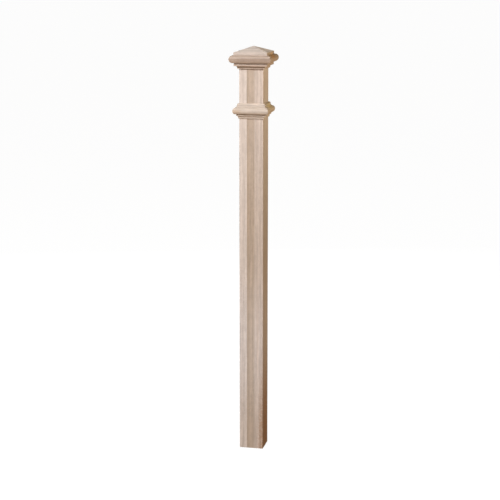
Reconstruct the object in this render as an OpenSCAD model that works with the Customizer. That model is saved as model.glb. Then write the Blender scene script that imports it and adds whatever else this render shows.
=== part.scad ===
// Square newel post: a post glued up from three staves, with a mitred collar below its head,
// a mitred moulding round the head and a peaked cap block on top.
// The origin is the middle of the square-cut foot, +Z is up and the front faces -Y.

/* [Post] */
// Side of the square post
post_w = 88.9; // [76:0.1:102]
// Length of the staves, from the foot to the underside of the cap block
post_h = 1478; // [1400:1:1650]
// Width of the left stave
left_stave_w = 28.4; // [24:0.1:32]
// Width of the middle stave
middle_stave_w = 28.6; // [24:0.1:32]
// Radius that eases the four long corners
corner_r = 1.5; // [0.5:0.1:3]

/* [Collar] */
// Height of the collar's lower edge above the foot
collar_z = 1251; // [900:1:1270]
// How far the collar's nose stands out from the post
collar_nose_out = 21; // [18:0.5:26]
// Horizontal reach of the nose's rounding
collar_nose_reach = 9; // [6:0.5:10]
// Height of the nose
collar_nose_h = 24; // [18:0.5:28]
// How far the fillet under the nose stands out
collar_step_out = 9.5; // [8.5:0.5:11]
// Height of that fillet
collar_step_h = 5; // [4:0.5:8]
// How far the foot fillet stands out
collar_foot_out = 4; // [3:0.5:4.5]
// Height of the foot fillet
collar_foot_h = 5; // [3:0.5:8]
// Radius of the cove between the two fillets
collar_cove_r = 4; // [2:0.5:4]
// Height of the flat above the nose
shoulder_flat_h = 1.5; // [1:0.5:3]
// Height of the cove above the nose
shoulder_cove_h = 7.5; // [5:0.5:9]
// Depth of the cove above the nose
shoulder_cove_in = 5; // [3:0.5:5]
// How far the rounded top edge stands out over that cove
shoulder_ledge = 0.5; // [0.5:0.5:2]
// Height of the rounded top edge
shoulder_bead_h = 6; // [4:0.5:8]
// Width of the flat left on the top, between the rounding and the post
shoulder_flat_w = 1; // [0.5:0.5:2]

/* [Cap moulding] */
// How far the moulding's nose stands out from the post
cap_nose_out = 32; // [30:0.5:38]
// Horizontal reach of the nose's rounding
cap_nose_reach = 13; // [8:0.5:13]
// Height of the nose
cap_nose_h = 28; // [20:0.5:30]
// How far the fillet under the nose stands out
cap_step_out = 16.5; // [15:0.5:17.5]
// Height of that fillet
cap_step_h = 8.5; // [6:0.5:10]
// How far the foot fillet stands out
cap_foot_out = 6; // [4:0.5:8]
// Height of the foot fillet
cap_foot_h = 4.5; // [3:0.5:6]
// Radius of the cove between the two fillets
cap_cove_r = 6; // [4:0.5:6]

/* [Quirks] */
// Depth of the groove under each nose
quirk_in = 1.5; // [1:0.5:2]
// Height of the groove under the collar's nose
collar_quirk_h = 1.5; // [0.5:0.5:2]
// Height of the groove under the cap moulding's nose
cap_quirk_h = 2; // [1:0.5:3]

/* [Cap block] */
// Side of the square cap block
block_w = 124; // [118:0.5:132.5]
// Height of the block's upright edge
block_edge_h = 10; // [8:0.5:24]
// Rise of the four slopes from the edge to the peak
roof_rise = 21; // [12:0.5:40]

/* [Hidden] */
$fn = 48;
arc_step = 11.25;
left_line_x = -post_w / 2 + left_stave_w;
right_line_x = left_line_x + middle_stave_w;
cap_moulding_h = cap_foot_h + cap_cove_r + cap_step_h + cap_quirk_h + cap_nose_h;
cap_moulding_z = post_h - cap_moulding_h;
stave_colors = ["#d6c3b2", "#bf9f84", "#c9b0a0"];
collar_color = "#d3b99f";
cap_moulding_color = "#cfae93";
block_color = "#d2b8a0";

// Points along an elliptical arc, from the first angle to the second, in degrees
function arc(cx, cz, rx, rz, from, to) =
    let (steps = ceil(abs(to - from) / arc_step))
    [
        for (i = [0:steps])
            let (a = from + (to - from) * i / steps)
                [cx + rx * cos(a), cz + rz * sin(a)]
    ];

// The bands that both mouldings share, from the wall upwards: foot fillet, cove, upper fillet,
// groove and nose. Each point is [distance out from the post, height above the lower edge].
function stepped_nose(foot_out, foot_h, cove_r, step_out, step_h, quirk_h, nose_out, nose_reach, nose_h) =
    let (
        step_z = foot_h + cove_r,
        quirk_z = step_z + step_h,
        nose_z = quirk_z + quirk_h,
        nose_c = nose_out - nose_reach
    )
    concat(
        [[0, 0], [foot_out, 0]],
        arc(foot_out + cove_r, foot_h, cove_r, cove_r, 180, 90),
        [[step_out, step_z], [step_out, quirk_z]],
        [[step_out - quirk_in, quirk_z], [step_out - quirk_in, nose_z]],
        arc(nose_c, nose_z + nose_h / 2, nose_reach, nose_h / 2, -90, 90)
    );

cap_moulding_profile = concat(
    stepped_nose(
        cap_foot_out, cap_foot_h, cap_cove_r, cap_step_out, cap_step_h, cap_quirk_h,
        cap_nose_out, cap_nose_reach, cap_nose_h
    ),
    [[0, cap_moulding_h]]
);

collar_nose_top = collar_foot_h + collar_cove_r + collar_step_h + collar_quirk_h + collar_nose_h;
shoulder_out = collar_nose_out - collar_nose_reach;
cove_z = collar_nose_top + shoulder_flat_h;
bead_z = cove_z + shoulder_cove_h;
bead_out = shoulder_out - shoulder_cove_in + shoulder_ledge;
collar_h = bead_z + shoulder_bead_h;

collar_profile = concat(
    stepped_nose(
        collar_foot_out, collar_foot_h, collar_cove_r, collar_step_out, collar_step_h, collar_quirk_h,
        collar_nose_out, collar_nose_reach, collar_nose_h
    ),
    arc(shoulder_out, bead_z, shoulder_cove_in, shoulder_cove_h, 270, 180),
    arc(shoulder_flat_w, bead_z, bead_out - shoulder_flat_w, shoulder_bead_h, 0, 90),
    [[0, collar_h]]
);

// Cross-section of the whole post with its eased corners
module post_section() {
    inner = post_w / 2 - corner_r;
    square([2 * inner, post_w], center = true);
    square([post_w, 2 * inner], center = true);
    for (sx = [-1, 1], sy = [-1, 1])
        translate([sx * inner, sy * inner])
            circle(corner_r);
}

// One stave: the slice of the post between two glue lines
module stave(from_x, to_x, tint) {
    color(tint)
        linear_extrude(height = post_h)
            intersection() {
                post_section();
                translate([from_x, -post_w / 2])
                    square([to_x - from_x, post_w]);
            }
}

// One mitred length of moulding on the front of the post, turned to its own side
module mitred_length(profile, height, out, base_z, turn, tint) {
    reach = post_w / 2 + out;
    color(tint)
        rotate([0, 0, turn])
            translate([0, 0, base_z])
                intersection() {
                    translate([-reach, -post_w / 2, 0])
                        rotate([90, 0, 90])
                            linear_extrude(height = 2 * reach)
                                mirror([1, 0])
                                    polygon(profile);
                    linear_extrude(height = height)
                        polygon([[0, 0], [-reach, -reach], [reach, -reach]]);
                }
}

module collar_length(turn) {
    mitred_length(collar_profile, collar_h, collar_nose_out, collar_z, turn, collar_color);
}

module cap_moulding_length(turn) {
    mitred_length(
        cap_moulding_profile, cap_moulding_h, cap_nose_out, cap_moulding_z, turn, cap_moulding_color
    );
}

module stave_left() {
    stave(-post_w / 2, left_line_x, stave_colors[0]);
}

module stave_middle() {
    stave(left_line_x, right_line_x, stave_colors[1]);
}

module stave_right() {
    stave(right_line_x, post_w / 2, stave_colors[2]);
}

// Outline of the cap block seen from the side: upright edges under a gable
module block_gable() {
    half = block_w / 2;
    peak = block_edge_h + roof_rise;
    polygon([[-half, 0], [half, 0], [half, block_edge_h], [0, peak], [-half, block_edge_h]]);
}

// Square block with four slopes that meet in a peak, made where two crossed gables coincide
module cap_block() {
    color(block_color)
        translate([0, 0, post_h])
            intersection_for (turn = [0, 90])
                rotate([90, 0, turn])
                    linear_extrude(height = block_w, center = true)
                        block_gable();
}

stave_left();
stave_middle();
stave_right();
collar_length(0);  // collar_front
collar_length(90);  // collar_right
collar_length(180);  // collar_back
collar_length(270);  // collar_left
cap_moulding_length(0);  // cap_moulding_front
cap_moulding_length(90);  // cap_moulding_right
cap_moulding_length(180);  // cap_moulding_back
cap_moulding_length(270);  // cap_moulding_left
cap_block();
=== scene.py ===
"""Looks of a square newel post: bare glued-up staves, mitred mouldings and a peaked cap block."""

import math

import bmesh
import bpy
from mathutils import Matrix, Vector


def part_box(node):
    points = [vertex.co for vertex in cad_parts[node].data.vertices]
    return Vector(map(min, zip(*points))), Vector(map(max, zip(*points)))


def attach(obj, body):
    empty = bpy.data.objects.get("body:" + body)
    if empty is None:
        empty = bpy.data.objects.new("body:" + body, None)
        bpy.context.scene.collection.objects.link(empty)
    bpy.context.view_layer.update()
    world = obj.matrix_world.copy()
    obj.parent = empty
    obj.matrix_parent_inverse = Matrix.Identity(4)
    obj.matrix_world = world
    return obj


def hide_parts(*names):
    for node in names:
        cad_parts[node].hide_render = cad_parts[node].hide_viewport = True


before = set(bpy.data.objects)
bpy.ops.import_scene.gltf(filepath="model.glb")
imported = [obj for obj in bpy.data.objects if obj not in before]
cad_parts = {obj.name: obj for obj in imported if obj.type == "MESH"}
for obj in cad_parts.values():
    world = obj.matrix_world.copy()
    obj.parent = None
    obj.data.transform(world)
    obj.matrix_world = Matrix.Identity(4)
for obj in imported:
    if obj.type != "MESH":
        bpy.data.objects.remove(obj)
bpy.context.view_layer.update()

MM = 0.001

# ---------------------------------------------------------------- sizes

STAVES = ("stave_left", "stave_middle", "stave_right")
SIDES = {"front": 0, "right": 90, "back": 180, "left": 270}

post_half = max(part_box(stave)[1].x for stave in STAVES)

# Bands of each moulding from its lower edge up, in millimetres. "out" is measured from the post.
COLLAR = dict(
    foot_out=4, foot_h=5, cove_r=4, step_out=9.5, step_h=5, quirk_h=1.5,
    nose_out=21, nose_reach=9, nose_h=24,
    shoulder_flat_h=1.5, shoulder_cove_h=7.5, shoulder_cove_in=5,
    shoulder_ledge=0.5, shoulder_bead_h=6, shoulder_flat_w=1,
)
CAP_MOULDING = dict(
    foot_out=6, foot_h=4.5, cove_r=6, step_out=16.5, step_h=8.5, quirk_h=2,
    nose_out=32, nose_reach=13, nose_h=28,
)
QUIRK_IN = 1.5  # depth of the groove under each nose
ARRIS = 0.6  # rounding of the mouldings' sharp edges
BLOCK_EDGE_H = 10
BLOCK_ARRIS = 1.0
MITRE_GAP = 0.1  # each length stops this far short of its mitres
STATIONS = 41  # sections along each length
SHARP_ANGLE = 30  # edges that turn more than this stay crisp, in degrees


# ---------------------------------------------------------------- moulding outlines


def arc(cx, cz, rx, rz, start, end, step=7.5):
    """Points along an elliptical arc, from one angle to another, in degrees."""
    count = math.ceil(abs(end - start) / step)
    angles = (math.radians(start + (end - start) * i / count) for i in range(count + 1))
    return [(cx + rx * math.cos(a), cz + rz * math.sin(a)) for a in angles]


def stepped_nose(m):
    """The bands that both mouldings share: foot fillet, cove, upper fillet, groove and nose."""
    step_z = m["foot_h"] + m["cove_r"]
    quirk_z = step_z + m["step_h"]
    nose_z = quirk_z + m["quirk_h"]
    nose_c = m["nose_out"] - m["nose_reach"]
    quirk_out = m["step_out"] - QUIRK_IN
    return [
        (0, 0),
        (m["foot_out"], 0),
        *arc(m["foot_out"] + m["cove_r"], m["foot_h"], m["cove_r"], m["cove_r"], 180, 90),
        (m["step_out"], step_z),
        (m["step_out"], quirk_z),
        (quirk_out, quirk_z),
        (quirk_out, nose_z),
        *arc(nose_c, nose_z + m["nose_h"] / 2, m["nose_reach"], m["nose_h"] / 2, -90, 90),
    ]


def cap_moulding_outline():
    points = stepped_nose(CAP_MOULDING)
    return points + [(0, points[-1][1])]


def collar_outline():
    m = COLLAR
    points = stepped_nose(m)
    shoulder_out, nose_top = points[-1]
    bead_z = nose_top + m["shoulder_flat_h"] + m["shoulder_cove_h"]
    bead_out = shoulder_out - m["shoulder_cove_in"] + m["shoulder_ledge"]
    flat = m["shoulder_flat_w"]
    points += arc(shoulder_out, bead_z, m["shoulder_cove_in"], m["shoulder_cove_h"], 270, 180)
    points += arc(flat, bead_z, bead_out - flat, m["shoulder_bead_h"], 0, 90)
    return points + [(0, bead_z + m["shoulder_bead_h"])]


def eased(outline, radius, least_turn=25):
    """The outline with its sharp outer corners rounded, as a light sanding leaves them."""
    result = []
    count = len(outline)
    for i, corner in enumerate(outline):
        here = Vector(corner)
        back = Vector(outline[i - 1]) - here
        ahead = Vector(outline[(i + 1) % count]) - here
        turn = math.degrees(math.pi - back.angle(ahead))
        touches_post = here.x < 1e-6
        if turn < least_turn or touches_post:
            result.append(here)
            continue
        cut = min(radius, back.length * 0.4, ahead.length * 0.4)
        start = here + back.normalized() * cut
        end = here + ahead.normalized() * cut
        for t in (0, 0.25, 0.5, 0.75, 1):
            result.append(start * (1 - t) ** 2 + here * 2 * t * (1 - t) + end * t * t)
    return result


def outline_curve(name, outline):
    """A closed flat curve: X is the distance out from the post, Y the height, in metres."""
    curve = bpy.data.curves.new(name, "CURVE")
    curve.dimensions = "3D"
    spline = curve.splines.new("POLY")
    spline.points.add(len(outline) - 1)
    for point, (out, height) in zip(spline.points, outline):
        point.co = (out * MM, height * MM, 0, 1)
    spline.use_cyclic_u = True
    holder = bpy.data.objects.new(name, curve)
    bpy.context.scene.collection.objects.link(holder)
    return holder


# ---------------------------------------------------------------- node helpers


def add(tree, kind, inputs=None, **settings):
    """Adds a node, sets its properties, and links or sets its inputs."""
    node = tree.nodes.new(kind)
    for key, value in settings.items():
        setattr(node, key, value)
    for key, value in (inputs or {}).items():
        socket = node.inputs[key]
        if isinstance(value, bpy.types.NodeSocket):
            tree.links.new(value, socket)
        else:
            socket.default_value = value
    return node


def math_of(tree, operation, *values):
    return add(tree, "ShaderNodeMath", dict(enumerate(values)), operation=operation).outputs[0]


def product(tree, first, second):
    return math_of(tree, "MULTIPLY", first, second)


def total(tree, first, second):
    return math_of(tree, "ADD", first, second)


def vector_of(tree, operation, *values):
    node = add(tree, "ShaderNodeVectorMath", dict(enumerate(values)), operation=operation)
    return node.outputs["Value" if operation in ("LENGTH", "DOT_PRODUCT") else "Vector"]


def scaled(tree, vector, x, y, z):
    return vector_of(tree, "MULTIPLY", vector, (x, y, z))


def smooth(tree, value, low, high, to_low=0.0, to_high=1.0):
    node = add(
        tree,
        "ShaderNodeMapRange",
        {"Value": value, "From Min": low, "From Max": high, "To Min": to_low, "To Max": to_high},
        interpolation_type="SMOOTHSTEP",
    )
    return node.outputs["Result"]


def noise(tree, vector, scale=1.0, detail=3.0, roughness=0.5):
    return add(
        tree,
        "ShaderNodeTexNoise",
        {"Vector": vector, "Scale": scale, "Detail": detail, "Roughness": roughness},
    ).outputs["Fac"]


def mixed(tree, factor, first, second, blend="MIX"):
    node = add(tree, "ShaderNodeMix", data_type="RGBA", blend_type=blend)
    for index, value in ((0, factor), (6, first), (7, second)):
        if isinstance(value, bpy.types.NodeSocket):
            tree.links.new(value, node.inputs[index])
        else:
            node.inputs[index].default_value = value
    return node.outputs[2]


def group_sockets(tree, inputs, outputs):
    for name, kind in inputs:
        tree.interface.new_socket(name=name, in_out="INPUT", socket_type=kind)
    for name, kind in outputs:
        tree.interface.new_socket(name=name, in_out="OUTPUT", socket_type=kind)
    return tree.nodes.new("NodeGroupInput"), tree.nodes.new("NodeGroupOutput")


# ---------------------------------------------------------------- mitred mouldings


def mitred_sweep_tree():
    """Sweeps an outline along one side of the post and cuts both ends at 45 degrees."""
    tree = bpy.data.node_groups.new("mitred_sweep", "GeometryNodeTree")
    tree.is_modifier = True
    given, result = group_sockets(
        tree,
        [
            ("Outline", "NodeSocketObject"),
            ("Post half width", "NodeSocketFloat"),
            ("Base height", "NodeSocketFloat"),
            ("Joint gap", "NodeSocketFloat"),
            ("Turn", "NodeSocketFloat"),
            ("Stations", "NodeSocketInt"),
            ("Wood", "NodeSocketMaterial"),
        ],
        [("Geometry", "NodeSocketGeometry")],
    )
    outline = add(tree, "GeometryNodeObjectInfo", {"Object": given.outputs["Outline"]})
    kept_outline = add(
        tree, "GeometryNodeCaptureAttribute", {"Geometry": outline.outputs["Geometry"]}
    )
    kept_outline.capture_items.new("VECTOR", "Section point")
    position = add(tree, "GeometryNodeInputPosition")
    tree.links.new(position.outputs[0], kept_outline.inputs["Section point"])

    line = add(tree, "GeometryNodeCurvePrimitiveLine", {"End": (0, 0, 1)})
    stations = add(
        tree,
        "GeometryNodeResampleCurve",
        {"Curve": line.outputs["Curve"], "Count": given.outputs["Stations"]},
    )
    kept_path = add(tree, "GeometryNodeCaptureAttribute", {"Geometry": stations.outputs["Curve"]})
    kept_path.capture_items.new("FLOAT", "Along")
    along = add(tree, "GeometryNodeSplineParameter")
    tree.links.new(along.outputs["Factor"], kept_path.inputs["Along"])

    sweep = add(
        tree,
        "GeometryNodeCurveToMesh",
        {
            "Curve": kept_path.outputs["Geometry"],
            "Profile Curve": kept_outline.outputs["Geometry"],
            "Fill Caps": True,
        },
    )
    section = add(tree, "ShaderNodeSeparateXYZ", {0: kept_outline.outputs["Section point"]})
    out_to_face = math_of(tree, "ADD", section.outputs["X"], given.outputs["Post half width"])
    half_length = math_of(tree, "SUBTRACT", out_to_face, given.outputs["Joint gap"])
    from_middle = math_of(tree, "MULTIPLY_ADD", kept_path.outputs["Along"], 2.0, -1.0)
    place = add(
        tree,
        "ShaderNodeCombineXYZ",
        {
            "X": math_of(tree, "MULTIPLY", from_middle, half_length),
            "Y": math_of(tree, "MULTIPLY", out_to_face, -1.0),
            "Z": math_of(tree, "ADD", section.outputs["Y"], given.outputs["Base height"]),
        },
    )
    turned = add(
        tree,
        "ShaderNodeVectorRotate",
        {"Vector": place.outputs[0], "Angle": given.outputs["Turn"]},
        rotation_type="Z_AXIS",
    )
    placed = add(
        tree,
        "GeometryNodeSetPosition",
        {"Geometry": sweep.outputs["Mesh"], "Position": turned.outputs[0]},
    )
    real = add(tree, "GeometryNodeRealizeInstances", {"Geometry": placed.outputs["Geometry"]})
    finished = add(
        tree,
        "GeometryNodeSetMaterial",
        {"Geometry": real.outputs["Geometry"], "Material": given.outputs["Wood"]},
    )
    tree.links.new(finished.outputs["Geometry"], result.inputs["Geometry"])
    return tree


def grown(name, tree, values):
    """Runs a Geometry Nodes tree once and returns its result as a plain mesh object."""
    seed_mesh = bpy.data.meshes.new(name + "_seed")
    worker = bpy.data.objects.new(name + "_worker", seed_mesh)
    bpy.context.scene.collection.objects.link(worker)
    modifier = worker.modifiers.new("grow", "NODES")
    modifier.node_group = tree
    for item in tree.interface.items_tree:
        if item.in_out == "INPUT":
            modifier[item.identifier] = values[item.name]
    evaluated = worker.evaluated_get(bpy.context.evaluated_depsgraph_get())
    mesh = bpy.data.meshes.new_from_object(evaluated)
    mesh.name = name
    bpy.data.objects.remove(worker)
    bpy.data.meshes.remove(seed_mesh)
    piece = bpy.data.objects.new(name, mesh)
    bpy.context.scene.collection.objects.link(piece)
    return piece


def face_outwards(mesh):
    work = bmesh.new()
    work.from_mesh(mesh)
    bmesh.ops.remove_doubles(work, verts=work.verts, dist=1e-7)
    bmesh.ops.recalc_face_normals(work, faces=work.faces)
    work.to_mesh(mesh)
    work.free()


def shade_by_angle(mesh, degrees):
    mesh.shade_smooth()
    mesh.set_sharp_from_angle(angle=math.radians(degrees))


# ---------------------------------------------------------------- bare wood


PORE_BROWN = (0.16, 0.10, 0.07, 1)
END_GRAIN_SHADE = (0.81, 0.74, 0.66, 1)


def bare_wood_group():
    """Sawn, sanded wood from its growth rings, so that face, edge and end grain agree.

    Board is a point in metres with Z along the grain, and Pith the centre of the rings.
    """
    tree = bpy.data.node_groups.new("bare_wood", "ShaderNodeTree")
    colour, number, vector = "NodeSocketColor", "NodeSocketFloat", "NodeSocketVector"
    given, result = group_sockets(
        tree,
        [
            ("Board", vector), ("Pith", vector), ("End grain", number), ("Seed", vector),
            ("Ring gap", number), ("Wander", number),
            ("Ring depth", number), ("Streak depth", number),
            ("Heart radius", number), ("Heart fade", number), ("Heart depth", number),
            ("Early wood", colour), ("Late wood", colour),
            ("Streak", colour), ("Heart wood", colour),
        ],
        [("Color", colour), ("Roughness", number), ("Normal", vector)],
    )
    g = given.outputs
    drawn_from = vector_of(tree, "ADD", g["Board"], g["Seed"])

    # Distance from the pith, with the slow bends of a real trunk
    slow = add(
        tree,
        "ShaderNodeTexNoise",
        {
            "Vector": scaled(tree, drawn_from, 8, 8, 1.3),
            "Scale": 1.0,
            "Detail": 2.0,
            "Roughness": 0.45,
        },
    ).outputs["Color"]
    centred = vector_of(tree, "SUBTRACT", slow, (0.5, 0.5, 0.5))
    bend = add(
        tree, "ShaderNodeVectorMath", {0: centred, "Scale": g["Wander"]}, operation="SCALE"
    ).outputs[0]
    straight = vector_of(tree, "SUBTRACT", g["Board"], g["Pith"])
    radius = vector_of(tree, "LENGTH", scaled(tree, vector_of(tree, "ADD", straight, bend), 1, 1, 0))

    # Growth rings: each darkens from its pale early wood to a sharp late edge
    ripple = noise(tree, scaled(tree, drawn_from, 90, 90, 3.5), detail=3)
    rings = total(tree, math_of(tree, "DIVIDE", radius, g["Ring gap"]), product(tree, ripple, 0.9))
    phase = math_of(tree, "FRACT", rings)
    late = product(
        tree, math_of(tree, "POWER", phase, 2.2), smooth(tree, phase, 0.86, 1.0, 1.0, 0.0)
    )

    # Streaks follow groups of rings, and heart wood fills the middle of the trunk
    spread = add(
        tree,
        "ShaderNodeTexNoise",
        {"W": product(tree, rings, 0.33), "Scale": 1.0, "Detail": 1.0},
        noise_dimensions="1D",
    ).outputs["Fac"]
    streak = smooth(tree, spread, 0.46, 0.66)
    past_heart = math_of(tree, "SUBTRACT", radius, g["Heart radius"])
    past_heart = math_of(tree, "DIVIDE", past_heart, g["Heart fade"])
    heart = product(tree, smooth(tree, past_heart, -1.0, 1.0, 1.0, 0.0), g["Heart depth"])
    tone = mixed(tree, heart, g["Early wood"], g["Heart wood"])
    tone = mixed(tree, product(tree, late, g["Ring depth"]), tone, g["Late wood"])
    tone = mixed(tree, product(tree, streak, g["Streak depth"]), tone, g["Streak"])

    # Lightness varies with the fibres, in long clouds, in short flecks and in a faint cross curl
    drift = noise(tree, scaled(tree, drawn_from, 70, 70, 1.1), detail=3, roughness=0.55)
    mottle = noise(tree, scaled(tree, drawn_from, 190, 190, 8), detail=2, roughness=0.6)
    curl = noise(tree, scaled(tree, drawn_from, 90, 90, 42), detail=3, roughness=0.6)
    fibre = noise(tree, scaled(tree, drawn_from, 1300, 1300, 16), detail=2, roughness=0.6)
    value = smooth(tree, fibre, 0.25, 0.75, 0.93, 1.07)
    for cloud, swing in ((drift, 0.06), (mottle, 0.08), (curl, 0.055)):
        value = total(tree, value, smooth(tree, cloud, 0.3, 0.7, -swing, swing))
    grey = add(tree, "ShaderNodeCombineColor", {0: value, 1: value, 2: value}).outputs[0]
    tone = mixed(tree, 1.0, tone, grey, "MULTIPLY")

    # Pores are thickest in early wood
    pore_cells = add(
        tree,
        "ShaderNodeTexVoronoi",
        {"Vector": scaled(tree, drawn_from, 1150, 1150, 70), "Scale": 1.0, "Randomness": 1.0},
    ).outputs["Distance"]
    pore = product(
        tree,
        smooth(tree, pore_cells, 0.12, 0.3, 1.0, 0.0),
        smooth(tree, phase, 0.0, 0.5, 1.0, 0.35),
    )
    tone = mixed(tree, product(tree, pore, 0.4), tone, PORE_BROWN)
    shaded = mixed(tree, 1.0, tone, END_GRAIN_SHADE, "MULTIPLY")
    tone = mixed(tree, g["End grain"], tone, shaded)

    height = math_of(tree, "SUBTRACT", product(tree, fibre, 0.35), product(tree, pore, 0.9))
    bump = add(
        tree, "ShaderNodeBump", {"Strength": 0.28, "Distance": 0.00022, "Height": height}
    ).outputs["Normal"]
    rough = total(tree, smooth(tree, drift, 0.2, 0.8, 0.58, 0.68), product(tree, pore, 0.15))
    for name, socket in (("Color", tone), ("Roughness", rough), ("Normal", bump)):
        tree.links.new(socket, result.inputs[name])
    return tree


bare_wood = bare_wood_group()
AXIS_ORDER = {"X": ("Y", "Z", "X"), "Y": ("X", "Z", "Y"), "Z": ("X", "Y", "Z")}


def wood(
    name, grain, centre, pith, seed, early, late, streak,
    heart=(0, 0, 0), heart_radius=40, heart_fade=10, heart_depth=0.0,
    ring_gap=3.2, wander=14, ring_depth=0.55, streak_depth=0.35, patches=(),
):
    """A board's material. Centre is in metres, every other length in millimetres.

    A patch is a local change of colour, some of the wood's own tone and some painted light and
    shade:
    its middle and its half sizes, in the object's own millimetres, then its colour and how strongly
    it shows.
    """
    material = bpy.data.materials.new(name)
    material.use_nodes = True
    tree = material.node_tree
    tree.nodes.clear()
    coordinates = add(tree, "ShaderNodeTexCoord")
    place = coordinates.outputs["Object"]
    local = vector_of(tree, "SUBTRACT", place, tuple(centre))
    parts = add(tree, "ShaderNodeSeparateXYZ", {0: local}).outputs
    board = add(
        tree,
        "ShaderNodeCombineXYZ",
        {i: parts[axis] for i, axis in enumerate(AXIS_ORDER[grain])},
    )
    facing = add(tree, "ShaderNodeSeparateXYZ", {0: coordinates.outputs["Normal"]}).outputs[grain]
    end_grain = smooth(tree, math_of(tree, "ABSOLUTE", facing), 0.72, 0.95)
    figure = add(
        tree,
        "ShaderNodeGroup",
        {"Board": board.outputs[0], "End grain": end_grain},
        node_tree=bare_wood,
    )
    settings = {
        "Pith": (pith[0] * MM, pith[1] * MM, 0),
        "Seed": (seed, seed * 1.7, seed * 2.3),
        "Ring gap": ring_gap * MM,
        "Wander": wander * MM,
        "Heart radius": heart_radius * MM,
        "Heart fade": heart_fade * MM,
        "Heart depth": heart_depth,
        "Ring depth": ring_depth,
        "Streak depth": streak_depth,
        "Early wood": (*early, 1),
        "Late wood": (*late, 1),
        "Streak": (*streak, 1),
        "Heart wood": (*heart, 1),
    }
    for key, value in settings.items():
        figure.inputs[key].default_value = value

    tone = figure.outputs["Color"]
    for middle, half_sizes, patch_colour, depth in patches:
        away = vector_of(tree, "SUBTRACT", place, [v * MM for v in middle])
        away = scaled(tree, away, *(1 / (v * MM) for v in half_sizes))
        ragged = noise(tree, scaled(tree, place, 160, 160, 160), detail=2)
        edge = total(tree, vector_of(tree, "LENGTH", away), ragged)
        shown = smooth(tree, edge, 0.7, 1.6, depth, 0.0)
        tone = mixed(tree, shown, tone, mixed(tree, 1.0, tone, (*patch_colour, 1), "MULTIPLY"))
    shader = add(
        tree,
        "ShaderNodeBsdfPrincipled",
        {
            "Base Color": tone,
            "Roughness": figure.outputs["Roughness"],
            "Normal": figure.outputs["Normal"],
            "Specular IOR Level": 0.35,
        },
    )
    add(tree, "ShaderNodeOutputMaterial", {"Surface": shader.outputs[0]})
    return material


# ---------------------------------------------------------------- pieces


def dress_stave(name, material):
    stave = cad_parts[name]
    stave.data.materials.clear()
    stave.data.materials.append(material)


def moulding(name, outline, node, turn, material):
    piece = grown(
        name,
        mitred_sweep,
        {
            "Outline": outline,
            "Post half width": post_half,
            "Base height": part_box(node)[0].z,
            "Joint gap": MITRE_GAP * MM,
            "Turn": math.radians(turn),
            "Stations": STATIONS,
            "Wood": material,
        },
    )
    face_outwards(piece.data)
    shade_by_angle(piece.data, SHARP_ANGLE)
    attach(piece, "root")
    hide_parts(node)
    return piece


def peaked_block(material):
    """A square block whose top falls in four slopes from a peak, with sanded arrises."""
    low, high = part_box("cap_block")
    eave_z = low.z + BLOCK_EDGE_H * MM
    mesh = bpy.data.meshes.new("peaked_block")
    work = bmesh.new()
    square = ((low.x, low.y), (high.x, low.y), (high.x, high.y), (low.x, high.y))
    foot = [work.verts.new((x, y, low.z)) for x, y in square]
    eave = [work.verts.new((x, y, eave_z)) for x, y in square]
    peak = work.verts.new((0, 0, high.z))
    work.faces.new(reversed(foot))
    for i in range(4):
        j = (i + 1) % 4
        work.faces.new((foot[i], foot[j], eave[j], eave[i]))
        work.faces.new((eave[i], eave[j], peak))
    bmesh.ops.recalc_face_normals(work, faces=work.faces)
    work.to_mesh(mesh)
    work.free()
    mesh.materials.append(material)
    mesh.shade_smooth()
    piece = bpy.data.objects.new("peaked_block", mesh)
    bpy.context.scene.collection.objects.link(piece)
    bevel = piece.modifiers.new("arris", "BEVEL")
    bevel.width = BLOCK_ARRIS * MM
    bevel.segments = 3
    bevel.limit_method = "ANGLE"
    bevel.angle_limit = math.radians(10)
    bevel.harden_normals = True
    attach(piece, "root")
    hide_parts("cap_block")
    return piece


# Local changes of colour in single boards, as (middle, half sizes, colour, strength). Knots, stripes
# and deep lengths are the wood's own tone; the others paint light or shade, as noted at each.
# Painted light: all three staves lighter over the lower half of the shaft, evening out the key
# light's fall towards the foot.
LOW_SHAFT_PAINTED_LIGHT = ((0, 0, 400), (160, 160, 330), (1.12, 1.17, 1.24), 0.9)
DEEP_LENGTH = ((16, 0, 820), (70, 160, 370), (0.90, 0.88, 0.85), 0.9)
KNOT = ((70, -12, 1475), (18, 52, 17), (1.10, 0.80, 0.47), 0.9)
BLOCK_KNOT = ((70, 15, 1475), (18, 30, 17), (1.65, 1.32, 0.88), 0.9)
PATCHES = {
    "cap_moulding_front": [
        # Painted shade: a darker band along the middle of the nose, where its curve turns from the
        # light, with some darker grain in it.
        ((25, -76, 1464), (130, 20, 8.5), (0.72, 0.68, 0.66), 0.9),
        # Painted light: the lower curve of the nose and the groove under it lightened, a fill light
        # painted into the wood.
        ((0, -66, 1450), (150, 30, 6), (1.20, 1.32, 1.48), 0.9),
    ],
    # Besides the knot, painted shade: the right length darker all over its nose, the side turned
    # from the key light.
    "cap_moulding_right": [KNOT, ((78, 20, 1462), (30, 130, 34), (0.84, 0.81, 0.75), 0.9)],
    "collar_front": [((-52, -62, 1277), (26, 14, 9), (0.90, 0.82, 0.72), 0.9)],
    "collar_right": [
        # An olive-tan spot on the shoulder, partly the wood's own colour and partly painted light
        # where the shoulder and top of the nose catch the light.
        ((60, 4, 1294), (22, 40, 17), (1.15, 1.10, 0.74), 0.9),
        # Painted shade: the lower half of the nose and the members under it darker, where shade
        # falls under the nose.
        ((60, 0, 1272), (30, 90, 16), (0.88, 0.80, 0.67), 0.9),
    ],
}


def middle_of(node):
    low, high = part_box(node)
    return (low + high) / 2



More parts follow.
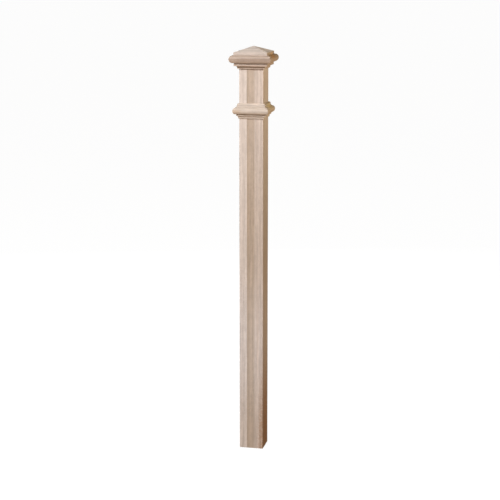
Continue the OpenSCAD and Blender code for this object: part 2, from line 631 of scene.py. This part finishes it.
dress_stave("stave_left", wood(
    "pale_stave", "Z", middle_of("stave_left"), (-52, 12), 3.1,
    early=(0.69, 0.60, 0.545), late=(0.60, 0.49, 0.42), streak=(0.62, 0.52, 0.45),
    ring_gap=3.4, ring_depth=0.45, streak_depth=0.3, patches=[LOW_SHAFT_PAINTED_LIGHT],
))
dress_stave("stave_middle", wood(
    "tan_stave", "Z", middle_of("stave_middle"), (-64, -10), 7.7,
    early=(0.57, 0.465, 0.385), late=(0.40, 0.30, 0.22), streak=(0.43, 0.32, 0.24),
    heart=(0.43, 0.325, 0.24), heart_radius=67, heart_fade=14, heart_depth=0.95,
    ring_gap=4.0, ring_depth=0.5, streak_depth=0.4, patches=[LOW_SHAFT_PAINTED_LIGHT, DEEP_LENGTH],
))
dress_stave("stave_right", wood(
    "striped_stave", "Z", middle_of("stave_right"), (-58, 6), 12.4,
    early=(0.655, 0.555, 0.495), late=(0.48, 0.38, 0.31), streak=(0.52, 0.405, 0.33),
    ring_gap=3.6, ring_depth=0.45, streak_depth=0.35,
    patches=[
        LOW_SHAFT_PAINTED_LIGHT,
        DEEP_LENGTH,
        ((26, 0, 430), (2, 90, 360), (0.98, 0.82, 0.66), 0.6),
        # Warmer over the right side face: partly the board's own browner tone, partly painted shade
        # of the side turned from the key light.
        ((46, 0, 300), (6, 60, 700), (1.0, 0.90, 0.78), 0.9),
        ((48, 0, 0), (30, 90, 420), (0.67, 0.43, 0.24), 0.92),
    # Painted shade: the foot of the right side face darker and more orange, where the side light
    # falls off.
    ],
))

mitred_sweep = mitred_sweep_tree()
outlines = {
    "collar": outline_curve("collar_outline", eased(collar_outline(), ARRIS)),
    "cap_moulding": outline_curve("cap_moulding_outline", eased(cap_moulding_outline(), ARRIS)),
}
TONES = {
    "collar": dict(
        early=(0.63, 0.54, 0.47), late=(0.51, 0.40, 0.325), streak=(0.51, 0.40, 0.32),
    ),
    "cap_moulding": dict(
        early=(0.54, 0.43, 0.36), late=(0.41, 0.31, 0.24), streak=(0.40, 0.29, 0.22),
    ),
}
for family, outline in outlines.items():
    for order, (side, turn) in enumerate(SIDES.items()):
        node = f"{family}_{side}"
        grain = "X" if side in ("front", "back") else "Y"
        strip = wood(
            f"{node}_wood", grain, middle_of(node), (-30 + 11 * order, -45), 20.3 + 4.1 * order,
            ring_gap=3.0, wander=10, ring_depth=0.5, streak_depth=0.4,
            patches=PATCHES.get(node, ()), **TONES[family],
        )
        moulding(f"{node}_length", outline, node, turn, strip)
for outline in outlines.values():
    bpy.data.objects.remove(outline)

peaked_block(wood(
    "block_wood", "X", middle_of("cap_block"), (8, -38), 41.9,
    early=(0.66, 0.58, 0.53), late=(0.54, 0.445, 0.375), streak=(0.56, 0.455, 0.375),
    ring_gap=3.4, wander=12, ring_depth=0.5, streak_depth=0.35, patches=[BLOCK_KNOT],
))


# ---------------------------------------------------------------- floor, light and camera


def make_studio():
    """A pale round floor that curves up into a wall, far out, so that no view shows an edge."""
    floor_radius, bend, wall_height = 24.0, 12.0, 30.0
    steps = 12
    profile = [(0.0, 0.0), (floor_radius, 0.0)]
    for i in range(1, steps + 1):
        angle = math.pi / 2 * i / steps
        profile.append((floor_radius + bend * math.sin(angle), bend * (1 - math.cos(angle))))
    profile.append((floor_radius + bend, wall_height))

    mesh = bpy.data.meshes.new("studio_floor")
    work = bmesh.new()
    points = [work.verts.new((out, 0, height)) for out, height in profile]
    edges = [work.edges.new(pair) for pair in zip(points, points[1:])]
    bmesh.ops.spin(
        work, geom=points + edges, cent=(0, 0, 0), axis=(0, 0, 1),
        angle=math.tau, steps=96, use_merge=True,
    )
    bmesh.ops.remove_doubles(work, verts=work.verts, dist=1e-5)
    bmesh.ops.recalc_face_normals(work, faces=work.faces)
    work.to_mesh(mesh)
    work.free()
    mesh.shade_smooth()

    paper = bpy.data.materials.new("pale_floor")
    paper.use_nodes = True
    shader = paper.node_tree.nodes["Principled BSDF"].inputs
    shader["Base Color"].default_value = (0.10, 0.10, 0.10, 1)
    shader["Roughness"].default_value = 0.9
    shader["Specular IOR Level"].default_value = 0.0
    shader["Emission Color"].default_value = (1, 1, 1, 1)
    shader["Emission Strength"].default_value = 0.97
    mesh.materials.append(paper)

    floor = bpy.data.objects.new("studio_floor", mesh)
    floor.visible_diffuse = False
    floor.visible_glossy = False
    floor.visible_shadow = False
    bpy.context.scene.collection.objects.link(floor)


def soft_light(name, place, aim, size, power, tint=(1, 1, 1), glossy=True):
    lamp = bpy.data.lights.new(name, "AREA")
    lamp.shape = "DISK"
    lamp.size = size
    lamp.energy = power
    lamp.color = tint
    light = bpy.data.objects.new(name, lamp)
    light.location = place
    light.rotation_euler = (Vector(aim) - Vector(place)).to_track_quat("-Z", "Y").to_euler()
    light.visible_camera = False
    light.visible_glossy = glossy
    bpy.context.scene.collection.objects.link(light)


def make_room_light(tint, below, above):
    """Dim light from all round, with more coming up from the floor than down."""
    world = bpy.data.worlds.new("room")
    world.use_nodes = True
    tree = world.node_tree
    direction = add(tree, "ShaderNodeTexCoord").outputs["Generated"]
    upward = add(tree, "ShaderNodeSeparateXYZ", {0: direction}).outputs["Z"]
    strength = smooth(tree, upward, -0.8, 0.0, below, above)
    background = tree.nodes["Background"].inputs
    background["Color"].default_value = (*tint, 1)
    tree.links.new(strength, background["Strength"])
    bpy.context.scene.world = world


def make_camera(azimuth, distance, height, aim, lens):
    data = bpy.data.cameras.new("camera")
    data.lens = lens
    data.sensor_width = 36
    data.clip_end = 400
    camera = bpy.data.objects.new("camera", data)
    angle = math.radians(azimuth)
    camera.location = (distance * math.sin(angle), -distance * math.cos(angle), height)
    camera.rotation_euler = (Vector(aim) - camera.location).to_track_quat("-Z", "Y").to_euler()
    bpy.context.scene.collection.objects.link(camera)
    bpy.context.scene.camera = camera


make_studio()
soft_light("key", (-2.2, -3.3, 3.65), (0, 0, 0.9), 1.3, 250)
soft_light("side", (1.4, -0.05, 1.8), (0, 0, 1.45), 0.8, 12, (1.0, 0.85, 0.60))
soft_light("back", (-0.9, 3.2, 1.5), (0, 0, 0.9), 1.4, 75, glossy=False)
make_room_light((1.0, 0.76, 0.55), below=0.75, above=0.05)
bpy.context.scene.view_settings.view_transform = "Standard"

make_camera(azimuth=12.3, distance=5.04, height=1.825, aim=(-0.0143, 0, 0.757), lens=100)
